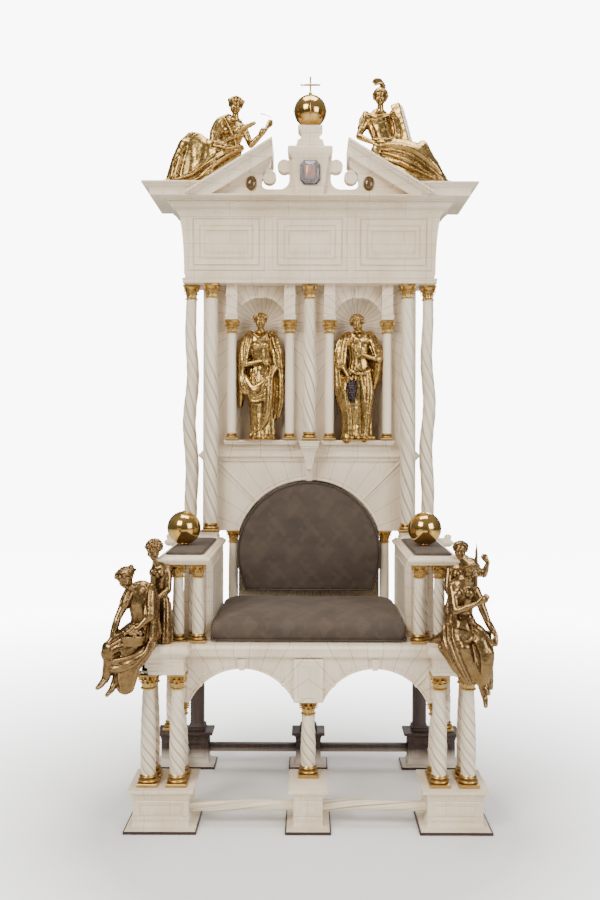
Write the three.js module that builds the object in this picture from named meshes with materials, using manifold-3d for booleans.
// A coronation throne: a wooden carcass sheathed in ivory and narwhal tusk, with gilt bronze
// capitals, balls, orb and figures, and upholstered seat, back and arms.
// Millimetres, +X to the sitter's left, +Y to the back, +Z up. Positions below are measured from
// the front edge of the front plinths; the last lines move the origin to the middle of the
// underside of the front middle plinth.

import * as THREE from 'three';
import { mergeVertices } from 'three/addons/utils/BufferGeometryUtils.js';
import Module from 'manifold-3d';

const wasm = await Module();
wasm.setup();

// ---- driving dimensions ----
const GAP = 0.3;

const PLINTH_HEIGHT = 141;
const CORNER_X = 491;
const CORNER_BODY = 185;
const MIDDLE_BODY = 95;
const FRONT_BODY_DEPTH = 190;
const REAR_BODY_DEPTH = 77;
const FRONT_PLINTH_Y = 124;
const REAR_PLINTH_Y = 718;
const FOOT_SPREAD = 28;
const SLAB_SPREAD = 18;

const INNER_COLUMN_X = 442;
const OUTER_COLUMN_X = 540;
const FRONT_ROW_Y = 76;
const SECOND_ROW_Y = 164;

const APRON_Z = 407;
const ARCH_CROWN_Z = 520;
const BLOCK_Z = 518;
const BLOCK_TOP = 615;
const SEAT_TOP = 604;
const SEAT_HALF_WIDTH = 475;
const SEAT_FRONT = 126;
const SEAT_REAR = 800;

const ARM_Z = 875;
const ARM_TOP = 908;
const ARM_X = 429;
const ARM_WIDTH = 146;
const ARM_FRONT = 133;
const ARM_REAR = 756;

const BACK_FRONT = 745;
const BACK_REAR = 852;
const BACK_HALF_WIDTH = 430;
const SPRING_Z = 936;
const ARCH_RADIUS = 294;
const ARCH_CENTRE_Z = 847;
const MID_RAIL_Z = 1223;
const UPPER_Z = 1262;
const NICHE_X = 196;
const NICHE_RADIUS = 100;
const NICHE_FLOOR_Z = 1303;
const NICHE_CROWN_Z = 1879;

const CANOPY_Z = 1925;
const CANOPY_FRONT = 665;
const CANOPY_HALF_WIDTH = 500;
const CAVETTO_Z = 1945;
const CAVETTO_TOP = 2206;
const CAVETTO_FLARE = 24;
const CORNICE_TOP = 2294;
const CORNICE_FRONT = 515;
const CORNICE_HALF_WIDTH = 645;
const CORNICE_LEDGE = 2250;
const RAKE_FOOT_X = 418;
const RAKE_END_X = 146;
const RAKE_END_TOP = 2463;
const RAKE_THICKNESS = 67;
const TYMPANUM_FRONT = 586;
const TYMPANUM_REAR = 630;
const RAKE_REAR = 745;
const CENTRE_BLOCK_Y = 612;
const ORB_SEAT = 2524;

// ---- materials ----
const ivory = new THREE.MeshStandardMaterial({ color: 0xe9e0cf, roughness: 0.45, metalness: 0 });
const tusk = new THREE.MeshStandardMaterial({ color: 0xd9cba8, roughness: 0.5, metalness: 0 });
const gilt = new THREE.MeshStandardMaterial({ color: 0xb8913a, roughness: 0.25, metalness: 1 });
const cloth = new THREE.MeshStandardMaterial({ color: 0x6b5d52, roughness: 0.9, metalness: 0 });
const crystal = new THREE.MeshStandardMaterial({ color: 0xe8e6ee, roughness: 0.05, metalness: 0 });
const topaz = new THREE.MeshStandardMaterial({ color: 0x6b4a2a, roughness: 0.1, metalness: 0 });

const throne = new THREE.Group();

function addPart(name, geometry, material) {
  const mesh = new THREE.Mesh(geometry, material);
  mesh.name = name;
  throne.add(mesh);
  return mesh;
}

// ---- solids ----
function loft(rings) {
  const count = rings[0].length;
  const vertices = rings.flat().flatMap((point) => [point.x, point.y, point.z]);
  const faces = [];
  for (let ring = 0; ring + 1 < rings.length; ring += 1) {
    for (let i = 0; i < count; i += 1) {
      const a = ring * count + i;
      const b = ring * count + ((i + 1) % count);
      faces.push(a, b, b + count, a, b + count, a + count);
    }
  }
  capRing(vertices, faces, rings[0], 0, false);
  capRing(vertices, faces, rings[rings.length - 1], (rings.length - 1) * count, true);
  const geometry = new THREE.BufferGeometry();
  geometry.setAttribute('position', new THREE.Float32BufferAttribute(vertices, 3));
  geometry.setIndex(faces);
  return geometry;
}

function capRing(vertices, faces, ring, start, facesOn) {
  const count = ring.length;
  if (count === 4) {
    const corners = facesOn ? [0, 1, 2, 0, 2, 3] : [0, 2, 1, 0, 3, 2];
    faces.push(...corners.map((corner) => start + corner));
    return;
  }
  const centre = new THREE.Vector3();
  ring.forEach((point) => centre.add(point));
  centre.divideScalar(count);
  const hub = vertices.length / 3;
  vertices.push(centre.x, centre.y, centre.z);
  for (let i = 0; i < count; i += 1) {
    const a = start + i;
    const b = start + ((i + 1) % count);
    faces.push(...(facesOn ? [hub, a, b] : [hub, b, a]));
  }
}

// A block of rectangular plan whose sides follow a profile of [offset outwards, height].
function mouldedBlock(x, y, width, depth, profile) {
  const rings = profile.map(([offset, z]) => {
    const halfX = width / 2 + offset;
    const halfY = depth / 2 + offset;
    return [[-1, -1], [1, -1], [1, 1], [-1, 1]].map(
      ([sideX, sideY]) => new THREE.Vector3(x + sideX * halfX, y + sideY * halfY, z)
    );
  });
  return loft(rings);
}

function box(x0, x1, y0, y1, z0, z1) {
  const geometry = new THREE.BoxGeometry(x1 - x0, y1 - y0, z1 - z0);
  return geometry.translate((x0 + x1) / 2, (y0 + y1) / 2, (z0 + z1) / 2);
}

function ball(x, y, z, radiusX, radiusY, radiusZ, around = 8, up = 5) {
  const geometry = new THREE.SphereGeometry(1, around, up);
  geometry.rotateX(Math.PI / 2);
  geometry.scale(radiusX, radiusY, radiusZ);
  return geometry.translate(x, y, z);
}

// An upright plate: an outline in the XZ plane with a thickness from front to rear.
function plate(outline, front, rear) {
  const shape = new THREE.Shape(outline.map(([x, z]) => new THREE.Vector2(x, z)));
  const geometry = new THREE.ExtrudeGeometry(shape, { depth: rear - front, bevelEnabled: false });
  geometry.rotateX(Math.PI / 2);
  return geometry.translate(0, rear, 0);
}

function arc(x, z, radius, from, to, steps) {
  const points = [];
  for (let i = 0; i <= steps; i += 1) {
    const angle = THREE.MathUtils.degToRad(from + ((to - from) * i) / steps);
    points.push([x + radius * Math.cos(angle), z + radius * Math.sin(angle)]);
  }
  return points;
}

function toSolid(geometry) {
  const bare = geometry.clone();
  bare.deleteAttribute('normal');
  bare.deleteAttribute('uv');
  const merged = mergeVertices(bare, 1e-3);
  const mesh = new wasm.Mesh({
    numProp: 3,
    vertProperties: new Float32Array(merged.getAttribute('position').array),
    triVerts: new Uint32Array(merged.getIndex().array),
  });
  return new wasm.Manifold(mesh);
}

function toGeometry(solid) {
  const mesh = solid.getMesh();
  const geometry = new THREE.BufferGeometry();
  geometry.setAttribute('position', new THREE.Float32BufferAttribute(mesh.vertProperties, 3));
  geometry.setIndex(Array.from(mesh.triVerts));
  return geometry;
}

function join(...geometries) {
  return geometries.map(toSolid).reduce((whole, piece) => whole.add(piece));
}

function joined(...geometries) {
  return toGeometry(join(...geometries));
}

function carved(blank, ...tools) {
  return toGeometry(tools.reduce((rest, tool) => rest.subtract(toSolid(tool)), toSolid(blank)));
}

function mirrored(geometry) {
  const copy = geometry.clone();
  copy.scale(-1, 1, 1);
  const index = copy.getIndex();
  for (let i = 0; i < index.count; i += 3) {
    const first = index.getX(i);
    index.setX(i, index.getX(i + 2));
    index.setX(i + 2, first);
  }
  return copy;
}

// ---- plinths and stretchers ----
function plinth(x, y, width, depth) {
  return mouldedBlock(x, y, width, depth, [
    [FOOT_SPREAD, 0],
    [FOOT_SPREAD, 8],
    [0, 28],
    [0, 112],
    [SLAB_SPREAD, 132],
    [SLAB_SPREAD, PLINTH_HEIGHT],
  ]);
}

function panelledPlinth(x, y, width, depth) {
  const sunk = 5;
  const border = 18;
  const front = y - depth / 2;
  const halfWidth = width / 2 - border;
  const recess = box(x - halfWidth, x + halfWidth, front - 1, front + sunk, 42, 98);
  return carved(plinth(x, y, width, depth), recess);
}

function stretcher(from, to) {
  const radius = 19;
  const bow = 5;
  const rings = [];
  const start = new THREE.Vector3(...from);
  const end = new THREE.Vector3(...to);
  const alongX = Math.abs(end.x - start.x) > Math.abs(end.y - start.y);
  for (let i = 0; i <= 2; i += 1) {
    const share = i / 2;
    const centre = start.clone().lerp(end, share);
    centre.z += bow * Math.sin(Math.PI * share);
    rings.push(roundSection(centre, alongX, radius));
  }
  return loft(rings);
}

function roundSection(centre, alongX, radius) {
  const sides = 6;
  const points = [];
  for (let i = 0; i < sides; i += 1) {
    const angle = (2 * Math.PI * (i + 0.5)) / sides;
    const across = radius * Math.cos(angle);
    const up = radius * Math.sin(angle);
    const offset = alongX ? [0, across, up] : [-across, 0, up];
    points.push(centre.clone().add(new THREE.Vector3(...offset)));
  }
  return points;
}

const plinths = [
  ['front_left_plinth', -CORNER_X, FRONT_PLINTH_Y, CORNER_BODY, FRONT_BODY_DEPTH],
  ['front_middle_plinth', 0, FRONT_PLINTH_Y, MIDDLE_BODY, FRONT_BODY_DEPTH],
  ['front_right_plinth', CORNER_X, FRONT_PLINTH_Y, CORNER_BODY, FRONT_BODY_DEPTH],
  ['rear_left_plinth', -CORNER_X, REAR_PLINTH_Y, CORNER_BODY, REAR_BODY_DEPTH],
  ['rear_middle_plinth', 0, REAR_PLINTH_Y, MIDDLE_BODY, REAR_BODY_DEPTH],
  ['rear_right_plinth', CORNER_X, REAR_PLINTH_Y, CORNER_BODY, REAR_BODY_DEPTH],
];
for (const [name, x, y, width, depth] of plinths) {
  addPart(name, panelledPlinth(x, y, width, depth), ivory);
}

const STRETCHER_Z = 68;
for (const [row, y] of [['front', 80], ['rear', REAR_PLINTH_Y]]) {
  for (const [side, sign] of [['left', -1], ['right', 1]]) {
    const inner = sign * (MIDDLE_BODY / 2 + GAP);
    const outer = sign * (CORNER_X - CORNER_BODY / 2 - GAP);
    const from = [Math.min(inner, outer), y, STRETCHER_Z];
    const to = [Math.max(inner, outer), y, STRETCHER_Z];
    addPart(`${row}_${side}_stretcher`, stretcher(from, to), tusk);
  }
}
for (const [side, sign] of [['left', -1], ['right', 1]]) {
  const from = [sign * CORNER_X, FRONT_PLINTH_Y + FRONT_BODY_DEPTH / 2 + GAP, STRETCHER_Z];
  const to = [sign * CORNER_X, REAR_PLINTH_Y - REAR_BODY_DEPTH / 2 - GAP, STRETCHER_Z];
  addPart(`${side}_side_stretcher`, stretcher(from, to), tusk);
}

// ---- columns ----
// Eight points a ring: square where the corners reach out, ribbed where every second one does.
function columnRing(x, y, z, radius, corner, turn = 0) {
  const points = [];
  for (let i = 0; i < 8; i += 1) {
    const angle = (Math.PI / 4) * (i + 1) + turn;
    const reach = i % 2 === 0 ? radius * corner : radius;
    points.push(new THREE.Vector3(x + reach * Math.cos(angle), y + reach * Math.sin(angle), z));
  }
  return points;
}

// A square base, a ribbed shaft that turns by quarter turns and may sway, and a leafed capital.
function column({ x, y, bottom, top, base, low, high, steps, quarters, waves = 0, sway = 0, capital, abacus }) {
  const shaftFrom = bottom + base;
  const shaftTo = top - capital;
  const rib = 1.1;
  const twist = (quarters * Math.PI) / 2;
  const rings = [
    columnRing(x, y, bottom, base, Math.SQRT2),
    columnRing(x, y, bottom + base * 0.45, base, Math.SQRT2),
  ];
  for (let i = 0; i <= steps; i += 1) {
    const share = i / steps;
    const swing = share * waves * 2 * Math.PI;
    const drift = sway * Math.sin(Math.PI * share);
    const z = shaftFrom + (shaftTo - shaftFrom) * share;
    const swell = 1 + 0.06 * Math.sin(Math.PI * share);
    const radius = (low + (high - low) * share) * swell;
    const centreX = x + drift * Math.cos(swing);
    const centreY = y + drift * Math.sin(swing);
    rings.push(columnRing(centreX, centreY, z, radius, rib, share * twist));
  }
  rings.push(columnRing(x, y, top - capital * 0.2, abacus * 0.85, 1.3, twist));
  rings.push(columnRing(x, y, top, abacus, Math.SQRT2, twist));
  return loft(rings);
}

function lowerColumn(x, y, top) {
  return column({
    x, y, bottom: PLINTH_HEIGHT + GAP, top, base: 35, low: 26, high: 20, steps: 2, quarters: 1,
    capital: 54, abacus: 34,
  });
}

for (const [side, sign] of [['left', -1], ['right', 1]]) {
  const inner = sign * INNER_COLUMN_X;
  const outer = sign * OUTER_COLUMN_X;
  const underBlock = BLOCK_Z - GAP;
  const underApron = APRON_Z - GAP;
  addPart(`front_${side}_inner_column`, lowerColumn(inner, FRONT_ROW_Y, underBlock), tusk);
  addPart(`front_${side}_outer_column`, lowerColumn(outer, FRONT_ROW_Y, underBlock), tusk);
  addPart(`second_${side}_inner_column`, lowerColumn(inner, SECOND_ROW_Y, underApron), tusk);
  addPart(`second_${side}_outer_column`, lowerColumn(outer, SECOND_ROW_Y, underBlock), tusk);
  addPart(`rear_${side}_outer_column`, lowerColumn(sign * 545, REAR_PLINTH_Y, underBlock), tusk);
}
addPart('front_middle_column', lowerColumn(0, 170, APRON_Z - GAP), tusk);

// ---- entablature blocks over the corner columns ----
function blockProfile() {
  return [[0, BLOCK_Z], [4, BLOCK_Z + 14], [0, BLOCK_Z + 16], [0, 576], [13, 582], [20, 596], [13, BLOCK_TOP]];
}

// The seat frame before its arches are cut; the clearance makes the tool that fits blocks to it.
function seatBody(clearance = 0) {
  const width = 2 * (SEAT_HALF_WIDTH + clearance);
  const depth = SEAT_REAR - SEAT_FRONT + 2 * clearance;
  return mouldedBlock(0, (SEAT_REAR + SEAT_FRONT) / 2, width, depth, [
    [0, APRON_Z], [0, 556], [10, 562], [22, 572], [22, 596], [12, SEAT_TOP + clearance],
  ]);
}

for (const [side, sign] of [['left', -1], ['right', 1]]) {
  const front = mouldedBlock(sign * 487, 66, 138, 56, blockProfile());
  const flank = mouldedBlock(sign * 547, 115, 18, 154, blockProfile());
  const rear = mouldedBlock(sign * 545, REAR_PLINTH_Y, 46, 46, blockProfile());
  addPart(`front_${side}_block`, carved(joined(front, flank), seatBody(GAP)), ivory);
  addPart(`rear_${side}_block`, carved(rear, seatBody(GAP)), ivory);
}

// ---- seat frame with arched aprons, and its rear posts ----
function seatFrame() {
  const wall = 42;
  const hollow = box(
    -SEAT_HALF_WIDTH + wall, SEAT_HALF_WIDTH - wall, SEAT_FRONT + wall, SEAT_REAR - wall, APRON_Z - 1, 560
  );
  const frontArches = [-1, 1].map((sign) => archTool(sign * 228, 178, SEAT_FRONT - 30, SEAT_FRONT + 60));
  const rearArches = [-1, 1].map((sign) => archTool(sign * 228, 178, SEAT_REAR - 60, SEAT_REAR + 30));
  const sideArch = archTool(0, 205, -600, 600);
  sideArch.rotateZ(Math.PI / 2);
  sideArch.translate(0, 440, 0);
  let solid = [hollow, ...frontArches, ...rearArches, sideArch].reduce(
    (rest, tool) => rest.subtract(toSolid(tool)),
    toSolid(seatBody())
  );
  const post = [[26, PLINTH_HEIGHT + GAP], [26, 152], [0, 168], [0, APRON_Z + 2]];
  const blocks = [
    box(-50, 50, SEAT_FRONT - 12, SEAT_FRONT + 20, APRON_Z, 557),
    box(-SEAT_HALF_WIDTH - 8, -407, SEAT_FRONT - 10, SEAT_FRONT + 20, APRON_Z, 517),
    box(407, SEAT_HALF_WIDTH + 8, SEAT_FRONT - 10, SEAT_FRONT + 20, APRON_Z, 517),
    box(-50, 50, 690, 760, APRON_Z - 0.5, 540),
    ...[-1, 0, 1].map((sign) => mouldedBlock(sign * 445, REAR_PLINTH_Y, 51, 51, post.map(postRow))),
  ];
  for (const block of blocks) {
    solid = solid.add(toSolid(block));
  }
  return toGeometry(solid);
}

function postRow([offset, z]) {
  return [offset / 3, z];
}

// A flat segmental arch that rises from the bottom of the apron to its crown.
function archTool(x, halfWidth, front, rear) {
  const rise = ARCH_CROWN_Z - APRON_Z;
  const radius = (halfWidth * halfWidth + rise * rise) / (2 * rise);
  const half = THREE.MathUtils.radToDeg(Math.asin(halfWidth / radius));
  const centreZ = ARCH_CROWN_Z - radius;
  const curve = arc(x, centreZ, radius, 90 - half, 90 + half, 7);
  return plate([[x - halfWidth, APRON_Z - 2], [x + halfWidth, APRON_Z - 2], ...curve], front, rear);
}

addPart('seat_frame', seatFrame(), ivory);

// ---- arms ----
function armProfile() {
  return [[0, ARM_Z], [12, ARM_Z + 3], [18, ARM_Z + 14], [17, ARM_Z + 22], [8, ARM_TOP]];
}

function armSlab(sign, clearance = 0) {
  const width = ARM_WIDTH + 2 * clearance;
  const depth = ARM_REAR - ARM_FRONT + 2 * clearance;
  return mouldedBlock(sign * ARM_X, (ARM_FRONT + ARM_REAR) / 2, width, depth, armProfile());
}

function arm(sign) {
  const inner = sign * 347;
  const outer = sign * 445;
  const wall = box(
    Math.min(inner, outer), Math.max(inner, outer), 262, ARM_REAR, SEAT_TOP + GAP, ARM_Z + 1
  );
  const ear = mouldedBlock(sign * 530, 735, 60, 36, armProfile());
  const seat = box(sign * 435 - 75, sign * 435 + 75, 660, 774, ARM_TOP - 2, SPRING_Z - GAP);
  return joined(armSlab(sign), wall, ear, seat, armColumn(sign * 402, 232, ARM_Z + 2));
}

function armColumn(x, y, top = ARM_Z - GAP) {
  return column({
    x, y, bottom: SEAT_TOP + GAP, top, base: 28, low: 21, high: 18, steps: 2, quarters: 1, capital: 50,
    abacus: 30,
  });
}

for (const [side, sign] of [['left', -1], ['right', 1]]) {
  addPart(`${side}_arm`, arm(sign), ivory);
  addPart(`${side}_arm_inner_column`, armColumn(sign * 383, 166), tusk);
  addPart(`${side}_arm_outer_column`, armColumn(sign * 452, 166), tusk);
  const padBottom = ARM_TOP + GAP;
  const pad = mouldedBlock(sign * 428, 395, 118, 500, [
    [0, padBottom], [6, padBottom + 4], [0, padBottom + 12],
  ]);
  addPart(`${side}_arm_pad`, pad, cloth);
  const giltBall = new THREE.LatheGeometry(ballProfile(61), 11);
  giltBall.rotateX(Math.PI / 2);
  giltBall.translate(sign * 440 - 17, 360, padBottom + 12 + GAP);
  addPart(`${side}_ball`, giltBall, gilt);
}

// A ball on a small flat, with a pin on top.
function ballProfile(radius) {
  const points = [new THREE.Vector2(0, 0)];
  const steps = 5;
  for (let i = 1; i <= steps; i += 1) {
    const angle = -Math.PI / 2 + (Math.PI * (i - 0.3)) / (steps + 0.4);
    points.push(new THREE.Vector2(radius * Math.cos(angle), radius + radius * Math.sin(angle)));
  }
  points[1].y = 0;
  points.push(new THREE.Vector2(0, 2 * radius + 3));
  return points;
}

// ---- upholstery ----
function seatCushion() {
  const rings = [];
  const rows = [[-12, SEAT_TOP + GAP], [0, 622], [0, 660], [-40, 690], [-110, 708]];
  for (const [offset, z] of rows) {
    rings.push(cushionRing(346 + offset, 290 + offset, z));
  }
  return loft(rings);
}

function cushionRing(halfX, halfY, z) {
  const middle = 440;
  const chamfer = 30;
  const points = [];
  for (const [sideX, sideY] of [[-1, -1], [1, -1], [1, 1], [-1, 1]]) {
    const along = [sideX * (halfX - chamfer), middle + sideY * halfY];
    const across = [sideX * halfX, middle + sideY * (halfY - chamfer)];
    const pair = sideX * sideY > 0 ? [across, along] : [along, across];
    points.push(...pair.map(([x, y]) => new THREE.Vector3(x, y, z)));
  }
  return points;
}

function backCushion() {
  const front = 700;
  const radius = ARCH_RADIUS - 6;
  const side = [[-232, 712], [232, 712]];
  const outline = [...side, ...arc(0, ARCH_CENTRE_Z, radius, -18, 198, 16)];
  return plate(outline, front, BACK_FRONT + 28);
}

addPart('seat_cushion', seatCushion(), cloth);
addPart('back_cushion', backCushion(), cloth);

// ---- back ----
function lowerBack() {
  const top = MID_RAIL_Z;
  const panel = plate([
    [-BACK_HALF_WIDTH, SPRING_Z], [BACK_HALF_WIDTH, SPRING_Z], [BACK_HALF_WIDTH, top], [-BACK_HALF_WIDTH, top],
  ], BACK_FRONT, BACK_REAR - 12);
  const lower = box(-286, 286, BACK_FRONT + 30, BACK_REAR - 12, SEAT_TOP + GAP, SPRING_Z + 2);
  const opening = plate(
    [[-ARCH_RADIUS, 600], [ARCH_RADIUS, 600], ...arc(0, ARCH_CENTRE_Z, ARCH_RADIUS, 0, 180, 16)],
    BACK_FRONT - 20,
    BACK_FRONT + 30
  );
  let solid = join(panel, lower).subtract(toSolid(opening));
  for (const sign of [-1, 1]) {
    const shaft = column({
      x: sign * 306, y: 760, bottom: SEAT_TOP + GAP, top: SPRING_Z + 1, base: 25, low: 19, high: 18,
      steps: 1, quarters: 0, capital: 52, abacus: 30,
    });
    solid = solid.add(toSolid(shaft));
    const stile = box(
      Math.min(sign * 372, sign * 430), Math.max(sign * 372, sign * 430),
      BACK_FRONT + 30, BACK_REAR - 12, SEAT_TOP + GAP, SPRING_Z + 2
    );
    solid = solid.add(toSolid(stile));
  }
  return toGeometry(solid);
}

function upperBack() {
  const halfWidth = BACK_HALF_WIDTH;
  const depth = BACK_REAR - BACK_FRONT;
  const body = mouldedBlock(0, (BACK_FRONT + BACK_REAR) / 2, 2 * halfWidth, depth, [
    [6, MID_RAIL_Z + GAP],
    [13, MID_RAIL_Z + 8],
    [13, MID_RAIL_Z + 24],
    [6, MID_RAIL_Z + 33],
    [0, UPPER_Z],
    [0, CANOPY_Z - GAP],
  ]);
  let solid = toSolid(body);
  for (const sign of [-1, 1]) {
    solid = solid.subtract(nicheTool(sign * NICHE_X));
    solid = solid.add(toSolid(box(sign * NICHE_X - 148, sign * NICHE_X + 148, BACK_FRONT - 30, 760, 1290, 1303)));
    for (const offset of [-116, 116]) {
      solid = solid.add(toSolid(nichePillar(sign * NICHE_X + offset)));
    }
  }
  solid = solid.add(toSolid(consoleBracket()));
  return toGeometry(solid);
}

// A round pillar with a square base, a capital, and the impost that it carries.
function nichePillar(x) {
  const y = 722;
  const base = NICHE_FLOOR_Z - 1;
  const square = Math.SQRT2;
  const rings = [[26, square, base], [24, square, base + 20], [18, 1, base + 30], [17, 1, 1731], [33, square, 1778],
    [22, square, 1783], [22, square, CANOPY_Z - GAP]];
  return loft(rings.map(([radius, corner, z]) => columnRing(x, y, z, radius, corner)));
}

function nicheTool(x) {
  const centreZ = NICHE_CROWN_Z - NICHE_RADIUS;
  const around = 10;
  const shaft = new THREE.CylinderGeometry(NICHE_RADIUS, NICHE_RADIUS, centreZ - NICHE_FLOOR_Z, around);
  shaft.rotateX(Math.PI / 2);
  shaft.scale(1, 0.86, 1);
  shaft.translate(x, BACK_FRONT, (centreZ + NICHE_FLOOR_Z) / 2);
  const dome = new THREE.SphereGeometry(NICHE_RADIUS, around, 5);
  dome.rotateX(Math.PI / 2);
  dome.rotateZ(Math.PI / 2);
  dome.scale(1, 0.86, 1);
  dome.translate(x, BACK_FRONT, centreZ);
  return join(shaft, dome);
}

// The tapered bracket that carries the middle column of the upper back.
function consoleBracket() {
  const rows = [[22, 30, 1188], [38, 56, 1275], [44, 68, 1280], [44, 68, 1299]];
  return loft(rows.map(([half, reach, z]) => [
    new THREE.Vector3(-half, BACK_FRONT - reach, z),
    new THREE.Vector3(half, BACK_FRONT - reach, z),
    new THREE.Vector3(half, BACK_FRONT - GAP, z),
    new THREE.Vector3(-half, BACK_FRONT - GAP, z),
  ]));
}

addPart('lower_back', lowerBack(), ivory);
addPart('upper_back', upperBack(), ivory);

// Tall tusks that carry the canopy, wavy along their length.
function tallColumn(x, y, low) {
  return column({
    x, y, bottom: SPRING_Z, top: CANOPY_Z - GAP, base: 33, low, high: low * 0.85, steps: 7, quarters: 2,
    waves: 2.2, sway: 7, capital: 70, abacus: 36,
  });
}

for (const [side, sign] of [['left', -1], ['right', 1]]) {
  addPart(`${side}_inner_tall_column`, tallColumn(sign * 392, 698, 29), tusk);
  addPart(`${side}_outer_tall_column`, tallColumn(sign * 477, 738, 27), tusk);
}
const middleColumn = column({
  x: 0, y: 709, bottom: 1299 + GAP, top: CANOPY_Z - GAP, base: 28, low: 27, high: 23, steps: 6, quarters: 2,
  waves: 1.5, sway: 4, capital: 70, abacus: 34,
});
addPart('middle_back_column', middleColumn, tusk);

// ---- canopy, cornice and pediment ----
const CANOPY_REAR = 872;

function canopy() {
  const rows = [[4, CANOPY_Z], [4, CAVETTO_Z], [-4, CAVETTO_Z + 1]];
  const steps = 5;
  for (let i = 1; i <= steps; i += 1) {
    const share = i / steps;
    const flare = 1 - Math.sqrt(1 - share * share);
    rows.push([-4 + (CAVETTO_FLARE + 8) * flare, CAVETTO_Z + 1 + (CAVETTO_TOP - CAVETTO_Z - 1) * share]);
  }
  return bayBlock(CANOPY_HALF_WIDTH, CANOPY_FRONT, rows);
}

// A block that steps out at the front and the sides and stays flat at the rear.
function bayBlock(halfWidth, front, rows) {
  const rings = rows.map(([offset, z]) => [
    new THREE.Vector3(-halfWidth - offset, front - offset, z),
    new THREE.Vector3(halfWidth + offset, front - offset, z),
    new THREE.Vector3(halfWidth + offset, CANOPY_REAR, z),
    new THREE.Vector3(-halfWidth - offset, CANOPY_REAR, z),
  ]);
  return loft(rings);
}

// Offsets of the raking and level corona from the tympanum's face.
function coronaRows(bottom, top) {
  const reach = TYMPANUM_FRONT - CORNICE_FRONT;
  const height = top - bottom;
  return [
    [reach * 0.62, bottom],
    [reach * 0.62, bottom + height * 0.45],
    [reach * 0.86, bottom + height * 0.7],
    [reach, bottom + height * 0.85],
    [reach, top],
  ];
}

function pediment() {
  const halfWidth = CORNICE_HALF_WIDTH - (TYMPANUM_FRONT - CORNICE_FRONT);
  const bed = bayBlock(halfWidth, TYMPANUM_FRONT, [
    [-50, CAVETTO_TOP + GAP], [-28, 2212], [-20, 2222], [-6, 2240], [-4, CORNICE_LEDGE],
  ]);
  const corona = toSolid(bayBlock(halfWidth, TYMPANUM_FRONT, coronaRows(CORNICE_LEDGE - 1, CORNICE_TOP)));
  const opening = box(-RAKE_FOOT_X, RAKE_FOOT_X, CORNICE_FRONT - 5, 700, CORNICE_LEDGE, CORNICE_TOP + 5);
  const rakes = toSolid(rake()).add(toSolid(mirrored(rake())));
  const underLedge = box(-CORNICE_HALF_WIDTH, CORNICE_HALF_WIDTH, CORNICE_FRONT - 5, 760, 2100, CORNICE_LEDGE - 1);
  const solid = toSolid(bed)
    .add(corona.subtract(toSolid(opening)))
    .add(rakes.subtract(toSolid(underLedge)))
    .add(tympanum())
    .add(toSolid(centreBlock()));
  return toGeometry(solid);
}

const RAKE_SLOPE = (RAKE_END_TOP - CORNICE_TOP) / (RAKE_FOOT_X - RAKE_END_X);

function rakeHeight(x) {
  return CORNICE_TOP + (RAKE_FOOT_X - Math.abs(x)) * RAKE_SLOPE;
}

// The right raking cornice: the corona's section, cut upright at its foot and its end.
function rake() {
  const section = coronaRows(-RAKE_THICKNESS, 0).map(([offset, drop]) => [TYMPANUM_FRONT - offset, drop]);
  section.push([RAKE_REAR, 0], [RAKE_REAR, -RAKE_THICKNESS]);
  return loft([RAKE_FOOT_X + 60, RAKE_END_X].map((x) =>
    section.map(([y, drop]) => new THREE.Vector3(x, y, rakeHeight(x) + drop))
  ));
}

// The tympanum plate: on each side of the middle block a scrolled cut-out between two lobes.
function tympanum() {
  const wing = [
    [20, CORNICE_LEDGE - 1], [400, CORNICE_LEDGE - 1], [152, 2400], [154, 2378], [176, 2345], [188, 2312],
    ...arc(166, 2300, 22, 0, -90, 3),
    ...arc(118, 2315, 37, -90, -180, 4),
    [81, 2346], [20, 2346],
  ];
  const lowerLobe = arc(159, 2327, 27, 15, 360, 9);
  const upperLobe = [[50, 2394], [50, 2345], [82, 2345], ...arc(101, 2368, 26, -120, 120, 7)];
  let solid = null;
  for (const outline of [wing, lowerLobe, upperLobe]) {
    const right = plate(outline, TYMPANUM_FRONT, TYMPANUM_REAR);
    const pair = toSolid(right).add(toSolid(mirrored(indexed(right))));
    solid = solid ? solid.add(pair) : pair;
  }
  return solid;
}

function indexed(geometry) {
  const bare = geometry.clone();
  bare.deleteAttribute('normal');
  bare.deleteAttribute('uv');
  return mergeVertices(bare, 1e-3);
}

// The tapered block in the middle, its cap, and the slab under the orb.
function centreBlock() {
  const rows = [
    [51, 45, CORNICE_LEDGE - 1], [71, 50, 2403], [87, 56, 2416], [87, 56, 2440], [52, 40, 2441],
    [50, 39, 2468], [34, 34, 2480], [37, 36, 2502], [48, 42, 2519], [48, 42, ORB_SEAT],
  ];
  return loft(rows.map(([halfX, halfY, z]) => [[-1, -1], [1, -1], [1, 1], [-1, 1]].map(
    ([sideX, sideY]) => new THREE.Vector3(sideX * halfX, CENTRE_BLOCK_Y + sideY * halfY, z)
  )));
}

addPart('canopy', canopy(), ivory);
addPart('pediment', pediment(), ivory);

function orbAndCross() {
  const radius = 64;
  const seat = ORB_SEAT + GAP;
  const orb = new THREE.LatheGeometry(ballProfile(radius), 11);
  orb.rotateX(Math.PI / 2);
  orb.translate(0, CENTRE_BLOCK_Y, seat);
  const top = seat + 2 * radius;
  const stem = mouldedBlock(0, CENTRE_BLOCK_Y, 6, 6, [
    [0, top - 6], [3, top + 14], [0, top + 28], [0, top + 58], [4, top + 66], [1, top + 73],
  ]);
  const bar = box(-39, 39, CENTRE_BLOCK_Y - 4, CENTRE_BLOCK_Y + 4, top + 36, top + 44);
  return joined(orb, stem, bar);
}

addPart('orb_and_cross', orbAndCross(), gilt);

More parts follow.
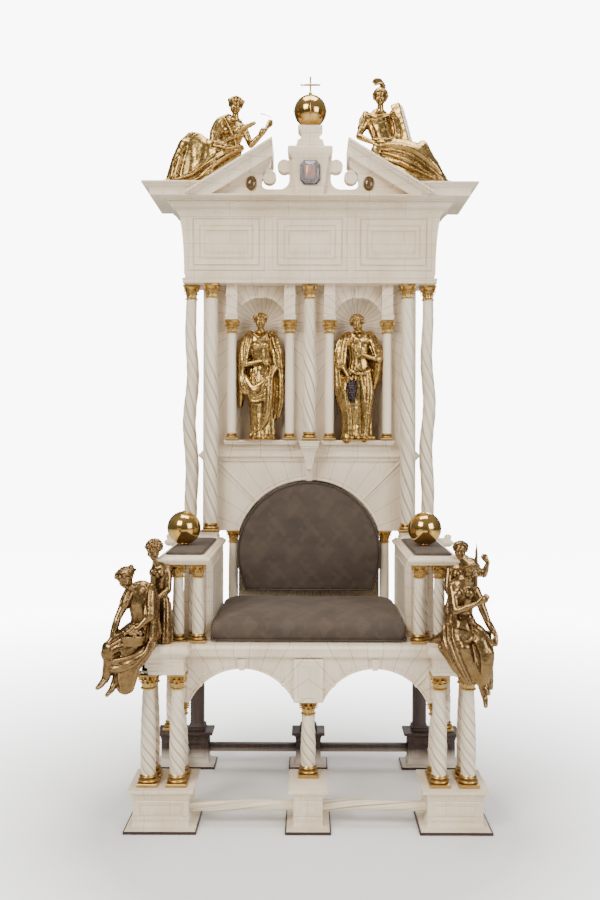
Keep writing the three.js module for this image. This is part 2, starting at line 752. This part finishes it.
function cutStone(x, y, z, halfWidth, halfHeight, depth) {
  const sides = 8;
  const ring = (share, front) => {
    const points = [];
    for (let i = 0; i < sides; i += 1) {
      const angle = (2 * Math.PI * (i + 0.5)) / sides;
      points.push(new THREE.Vector3(
        x + halfWidth * share * Math.cos(angle), front, z + halfHeight * share * Math.sin(angle)
      ));
    }
    return points;
  };
  return loft([ring(1, y), ring(1, y - depth * 0.4), ring(0.6, y - depth)]);
}

const BLOCK_FACE = CENTRE_BLOCK_Y - 50;
addPart('crystal', cutStone(0, BLOCK_FACE - GAP, 2337, 38, 46, 26), crystal);
for (const [side, sign] of [['left', -1], ['right', 1]]) {
  const stone = cutStone(sign * 228, TYMPANUM_FRONT - GAP, 2300, 21, 27, 12);
  addPart(`${side}_cabochon`, stone, topaz);
}

// ---- figures ----
// A limb or trunk through stations of [x, y, z, half-width, half-depth]; the half-depth lies along Y.
function limb(stations, sides = 4, fold = 0) {
  const centres = stations.map(([x, y, z]) => new THREE.Vector3(x, y, z));
  const forward = new THREE.Vector3(0, 1, 0);
  const sideways = new THREE.Vector3(1, 0, 0);
  const rings = stations.map(([, , , halfWidth, halfDepth = halfWidth], i) => {
    const before = centres[Math.max(i - 1, 0)];
    const after = centres[Math.min(i + 1, centres.length - 1)];
    const along = after.clone().sub(before).normalize();
    const across = Math.abs(along.y) > 0.9 ? sideways.clone() : forward.clone().cross(along).normalize();
    const outward = along.clone().cross(across).normalize();
    const ring = [];
    for (let k = 0; k < sides; k += 1) {
      const angle = (2 * Math.PI * k) / sides;
      const reach = k % 2 === 0 ? 1 : 1 - fold;
      const point = centres[i].clone();
      point.addScaledVector(across, reach * halfWidth * Math.cos(angle));
      point.addScaledVector(outward, reach * halfDepth * Math.sin(angle));
      ring.push(point);
    }
    return ring;
  });
  return loft(rings);
}

// Folded cloth: every second line of the skirt lies deeper.
function drape(stations, folds = 4) {
  return limb(stations, folds * 2, 0.2);
}

function head(x, y, z, size = 1) {
  return [
    ball(x, y, z, 26 * size, 30 * size, 33 * size, 7, 4),
    limb([[x, y + 8, z - 18 * size, 12 * size], [x, y + 14, z - 54 * size, 14 * size]]),
  ];
}

function torso(...stations) {
  return limb(stations, 6);
}

function bareArm(...joints) {
  const girths = [18, 14, 10, 9];
  return limb(joints.map(([x, y, z], i) => [x, y, z, girths[i]]));
}

function pedimentFigureLeft() {
  return [
    ...head(-293, 600, 2612),
    torso([-294, 620, 2568, 24, 18], [-306, 622, 2530, 58, 34], [-318, 626, 2470, 46, 34], [-330, 632, 2410, 52, 46]),
    bareArm([-352, 618, 2536], [-354, 575, 2462], [-292, 545, 2474], [-246, 540, 2508]),
    bareArm([-266, 618, 2534], [-212, 588, 2454], [-166, 572, 2508], [-156, 568, 2536]),
    ball(-234, 540, 2512, 24, 16, 9, 6, 3),
    drape([
      [-322, 632, 2412, 46, 56], [-386, 622, 2384, 80, 66], [-448, 608, 2380, 84, 66], [-512, 598, 2338, 52, 52],
      [-572, 592, 2306, 14, 30],
    ]),
    drape([[-344, 636, 2552, 22, 22], [-364, 636, 2500, 30, 34], [-362, 630, 2430, 40, 40]], 3),
  ];
}

function pedimentFigureRight() {
  const tablet = box(-18, 18, -50, 50, -85, 85);
  tablet.rotateY(THREE.MathUtils.degToRad(-16));
  tablet.translate(360, 650, 2546);
  return [
    ...head(273, 600, 2644),
    limb([[274, 618, 2664, 22, 27], [284, 620, 2692, 12, 20], [278, 612, 2718, 14, 14], [258, 604, 2706, 5, 7]]),
    torso([274, 620, 2602, 24, 18], [270, 622, 2560, 58, 34], [268, 626, 2500, 44, 34], [280, 632, 2440, 52, 46]),
    bareArm([218, 618, 2562], [194, 585, 2478], [230, 552, 2452], [254, 538, 2414]),
    bareArm([322, 620, 2560], [342, 604, 2502], [310, 600, 2456]),
    tablet,
    drape([
      [258, 630, 2434, 42, 54], [330, 622, 2414, 64, 62], [404, 612, 2384, 70, 62], [476, 602, 2350, 54, 52],
      [554, 592, 2309, 17, 32],
    ]),
  ];
}

function standingFigure(x, lean) {
  return [
    ...head(x + lean, 722, 1784),
    torso([x, 742, 1740, 22, 18], [x, 742, 1702, 58, 32], [x + 2, 744, 1640, 44, 30], [x + 4, 746, 1580, 56, 38]),
    drape([
      [x + 4, 746, 1610, 52, 36], [x + 8, 746, 1500, 64, 44], [x + 8, 744, 1380, 56, 42],
      [x + 8, 744, NICHE_FLOOR_Z + GAP, 62, 46],
    ]),
  ];
}

function nicheFigureLeft() {
  const x = -NICHE_X;
  return [
    ...standingFigure(x, -3),
    bareArm([x - 54, 738, 1700], [x - 76, 716, 1636], [x - 36, 698, 1626], [x + 8, 694, 1624]),
    bareArm([x + 54, 738, 1700], [x + 68, 724, 1632], [x + 34, 698, 1570]),
    drape([[x, 764, 1716, 44, 20], [x, 764, 1620, 86, 26], [x + 4, 764, 1430, 80, 24]], 3),
  ];
}

function nicheFigureRight() {
  const x = NICHE_X + 4;
  return [
    ...standingFigure(x, -9),
    bareArm([x - 54, 738, 1700], [x - 74, 720, 1624], [x - 36, 698, 1552]),
    bareArm([x + 54, 738, 1700], [x + 78, 716, 1640], [x + 30, 694, 1648], [x - 20, 690, 1644]),
    ball(x - 28, 702, 1514, 24, 22, 48, 7, 4),
    drape([[x, 764, 1716, 44, 20], [x, 764, 1620, 86, 26], [x, 764, 1440, 68, 24]], 3),
  ];
}

function frontGroupLeft() {
  return [
    ...head(-531, 114, 928, 1.05),
    torso([-520, 132, 888, 22, 18], [-510, 140, 850, 40, 34], [-520, 146, 780, 34, 30], [-520, 140, 700, 44, 40]),
    bareArm([-486, 134, 858], [-488, 108, 788], [-514, 60, 774]),
    drape([[-516, 132, 735, 44, 40], [-520, 104, 680, 52, 54], [-522, 96, BLOCK_TOP + GAP, 56, 60]], 4),
    ...head(-601, 4, 847, 1.1),
    torso([-590, 24, 808, 26, 20], [-562, 40, 776, 50, 36], [-550, 50, 716, 36, 36], [-548, 52, 650, 50, 46]),
    bareArm([-596, 26, 788], [-618, -8, 716], [-638, -22, 664], [-646, -28, 632]),
    bareArm([-524, 26, 796], [-530, -8, 722], [-566, -28, 688]),
    ball(-580, -26, 666, 42, 34, 30, 7, 4),
    limb([[-570, 40, 636, 36, 34], [-646, -22, 620, 28, 28], [-646, -30, 560, 18, 20], [-676, -40, 522, 9, 10]]),
    drape([[-556, 50, 676, 52, 48], [-592, -4, 626, 60, 50], [-604, -18, 572, 46, 40], [-606, -22, 512, 28, 26]]),
    limb([[-618, -28, 524, 13], [-632, -36, 496, 11], [-648, -50, 480, 7]]),
  ];
}

function frontGroupRight() {
  return [
    ...head(519, 114, 936, 1.05),
    torso([516, 132, 896, 22, 18], [522, 140, 852, 52, 34], [512, 146, 780, 38, 30], [510, 140, 700, 46, 40]),
    bareArm([562, 136, 860], [596, 126, 842], [607, 122, 886], [590, 120, 914]),
    bareArm([480, 132, 856], [472, 104, 796], [490, 60, 764]),
    limb([[570, 122, 784, 10, 5], [572, 122, 880, 8, 4], [574, 122, 956, 2, 1.5]], 4),
    drape([[505, 132, 735, 44, 40], [504, 110, 680, 46, 46], [504, 104, BLOCK_TOP + GAP, 50, 50]], 3),
    ...head(533, 6, 884, 1.1),
    torso([526, 28, 844, 26, 20], [516, 42, 806, 54, 36], [506, 52, 740, 44, 36], [506, 54, 660, 54, 46]),
    bareArm([476, 30, 822], [478, -8, 760], [530, -26, 764], [588, -30, 796]),
    bareArm([544, 30, 796], [570, 6, 722], [607, -14, 668], [599, -28, 640]),
    drape([[508, 50, 688, 52, 50], [514, -4, 648, 92, 56], [532, -18, 596, 66, 44], [538, -24, 524, 48, 30]]),
    limb([[590, 30, 654, 16, 30], [594, 26, 560, 13, 36], [594, 22, 484, 11, 36]]),
    limb([[560, -28, 548, 15], [567, -38, 500, 12], [565, -54, 450, 9]]),
  ];
}

// Everything that a figure rests on is taken out of it with a hair's clearance.
function figure(name, pieces, supports) {
  let solid = join(...pieces);
  for (const support of supports) {
    solid = solid.subtract(toSolid(support));
  }
  addPart(name, toGeometry(solid), gilt);
}

function rakeSupport(sign) {
  const clear = GAP + 0.1;
  const outline = [
    [0, 2240], [CORNICE_HALF_WIDTH, 2240], [CORNICE_HALF_WIDTH, CORNICE_TOP + clear],
    [RAKE_FOOT_X, CORNICE_TOP + clear], [RAKE_END_X - GAP, rakeHeight(RAKE_END_X) + clear], [0, 2300],
  ];
  const support = plate(outline, CORNICE_FRONT - 60, 800);
  return sign > 0 ? support : mirrored(indexed(support));
}

function blockSupport(sign) {
  const clear = 1;
  const front = mouldedBlock(sign * 487, 66, 138 + 2 * clear, 56 + 2 * clear, clearRows(blockProfile()));
  const flank = mouldedBlock(sign * 547, 115, 18 + 2 * clear, 154 + 2 * clear, clearRows(blockProfile()));
  return [front, flank];
}

function clearRows(rows) {
  return rows.map(([offset, z], i) => [offset, i === rows.length - 1 ? z + GAP : z]);
}

figure('left_pediment_figure', pedimentFigureLeft(), [rakeSupport(-1)]);
figure('right_pediment_figure', pedimentFigureRight(), [rakeSupport(1)]);
figure('left_niche_figure', nicheFigureLeft(), []);
figure('right_niche_figure', nicheFigureRight(), []);
figure('front_left_group', frontGroupLeft(), [...blockSupport(-1), armSlab(-1, 1)]);
figure('front_right_group', frontGroupRight(), [...blockSupport(1), armSlab(1, 1)]);

const part = new THREE.Group();
throne.position.y = -FRONT_PLINTH_Y;
part.add(throne);

export default part;
